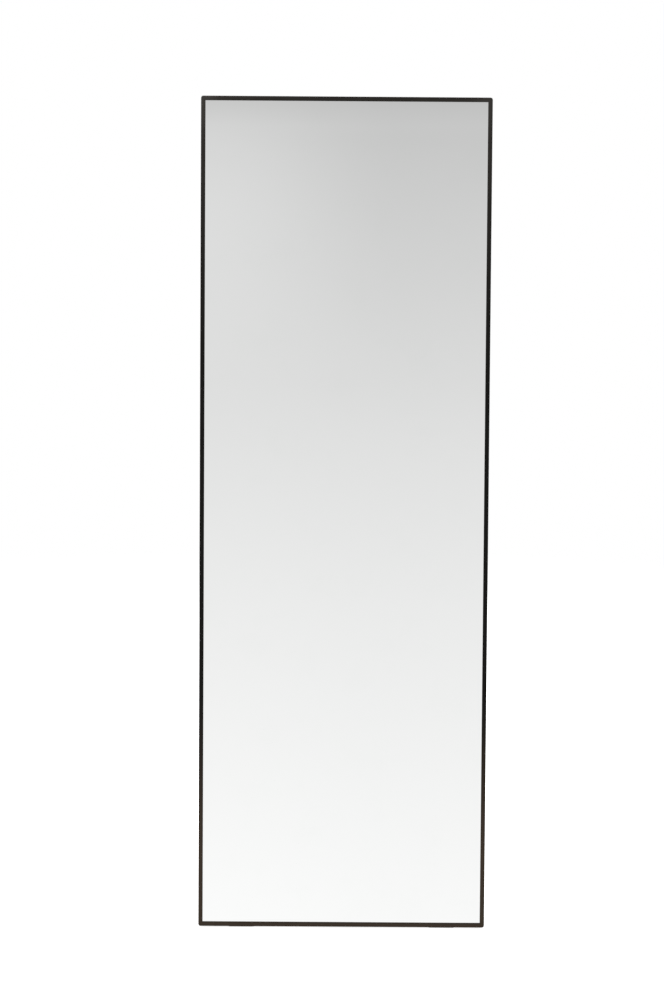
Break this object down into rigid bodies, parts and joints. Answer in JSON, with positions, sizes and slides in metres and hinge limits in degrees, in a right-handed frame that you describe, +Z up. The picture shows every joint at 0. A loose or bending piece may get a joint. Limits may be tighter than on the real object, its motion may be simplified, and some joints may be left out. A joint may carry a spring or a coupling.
{
  "type": "leaning floor mirror",
  "caption": "Tall rectangular floor mirror in a slim dark metal frame, leaning back on wedge feet and wall bumpers, with hanger rings behind.",
  "frame": {"origin": "on the floor, under the middle of the leaning mirror from side to side and from front to back", "axes": "+Z up, the glass faces -Y, the top leans 6 degrees towards +Y, +X is to the right as seen from the front"},
  "size_m": [0.635, 0.219, 1.8229],
  "materials": {
    "frame_metal": "satin",
    "silvered_glass": "polished",
    "glazing_foam": "matte",
    "black_rubber": "matte",
    "hardboard": "matte",
    "spring_steel": "satin",
    "zinc_plate": "satin",
    "nickel_wire": "polished"
  },
  "bodies": {
    "frame": {"bottom_rail": "frame_metal", "bottom_tape": "glazing_foam", "bottom_spring_1": "spring_steel", "bottom_spring_2": "spring_steel", "right_rail": "frame_metal", "right_tape": "glazing_foam", "right_spring_1": "spring_steel", "right_spring_2": "spring_steel", "right_spring_3": "spring_steel", "top_rail": "frame_metal", "top_tape": "glazing_foam", "top_spring_1": "spring_steel", "top_spring_2": "spring_steel", "left_rail": "frame_metal", "left_tape": "glazing_foam", "left_spring_1": "spring_steel", "left_spring_2": "spring_steel", "left_spring_3": "spring_steel", "mirror_glass": "silvered_glass", "backing_board": "hardboard", "left_setting_block": "black_rubber", "right_setting_block": "black_rubber", "bottom_left_corner_plate": "zinc_plate", "bottom_left_pressure_plate": "spring_steel", "bottom_left_set_screw_1": "zinc_plate", "bottom_left_set_screw_2": "zinc_plate", "bottom_right_corner_plate": "zinc_plate", "bottom_right_pressure_plate": "spring_steel", "bottom_right_set_screw_1": "zinc_plate", "bottom_right_set_screw_2": "zinc_plate", "top_right_corner_plate": "zinc_plate", "top_right_pressure_plate": "spring_steel", "top_right_set_screw_1": "zinc_plate", "top_right_set_screw_2": "zinc_plate", "top_left_corner_plate": "zinc_plate", "top_left_pressure_plate": "spring_steel", "top_left_set_screw_1": "zinc_plate", "top_left_set_screw_2": "zinc_plate", "left_hanger_strap": "zinc_plate", "left_nut_plate": "zinc_plate", "left_hanger_screw_1": "zinc_plate", "left_hanger_screw_2": "zinc_plate", "right_hanger_strap": "zinc_plate", "right_nut_plate": "zinc_plate", "right_hanger_screw_1": "zinc_plate", "right_hanger_screw_2": "zinc_plate", "bottom_left_bumper": "black_rubber", "bottom_right_bumper": "black_rubber", "top_right_bumper": "black_rubber", "top_left_bumper": "black_rubber", "left_foot": "black_rubber", "right_foot": "black_rubber"},
    "left_ring": {"left_hanger_ring": "nickel_wire"},
    "right_ring": {"right_hanger_ring": "nickel_wire"}
  },
  "joints": [
    {"name": "left_ring_swing", "type": "hinge", "parent": "frame", "child": "left_ring", "pos_m": [-0.3065, 0.06296, 1.37241], "axis": [1, 0, 0], "range_deg": [0, 170]},
    {"name": "right_ring_swing", "type": "hinge", "parent": "frame", "child": "right_ring", "pos_m": [0.3065, 0.06296, 1.37241], "axis": [1, 0, 0], "range_deg": [0, 170]}
  ]
}
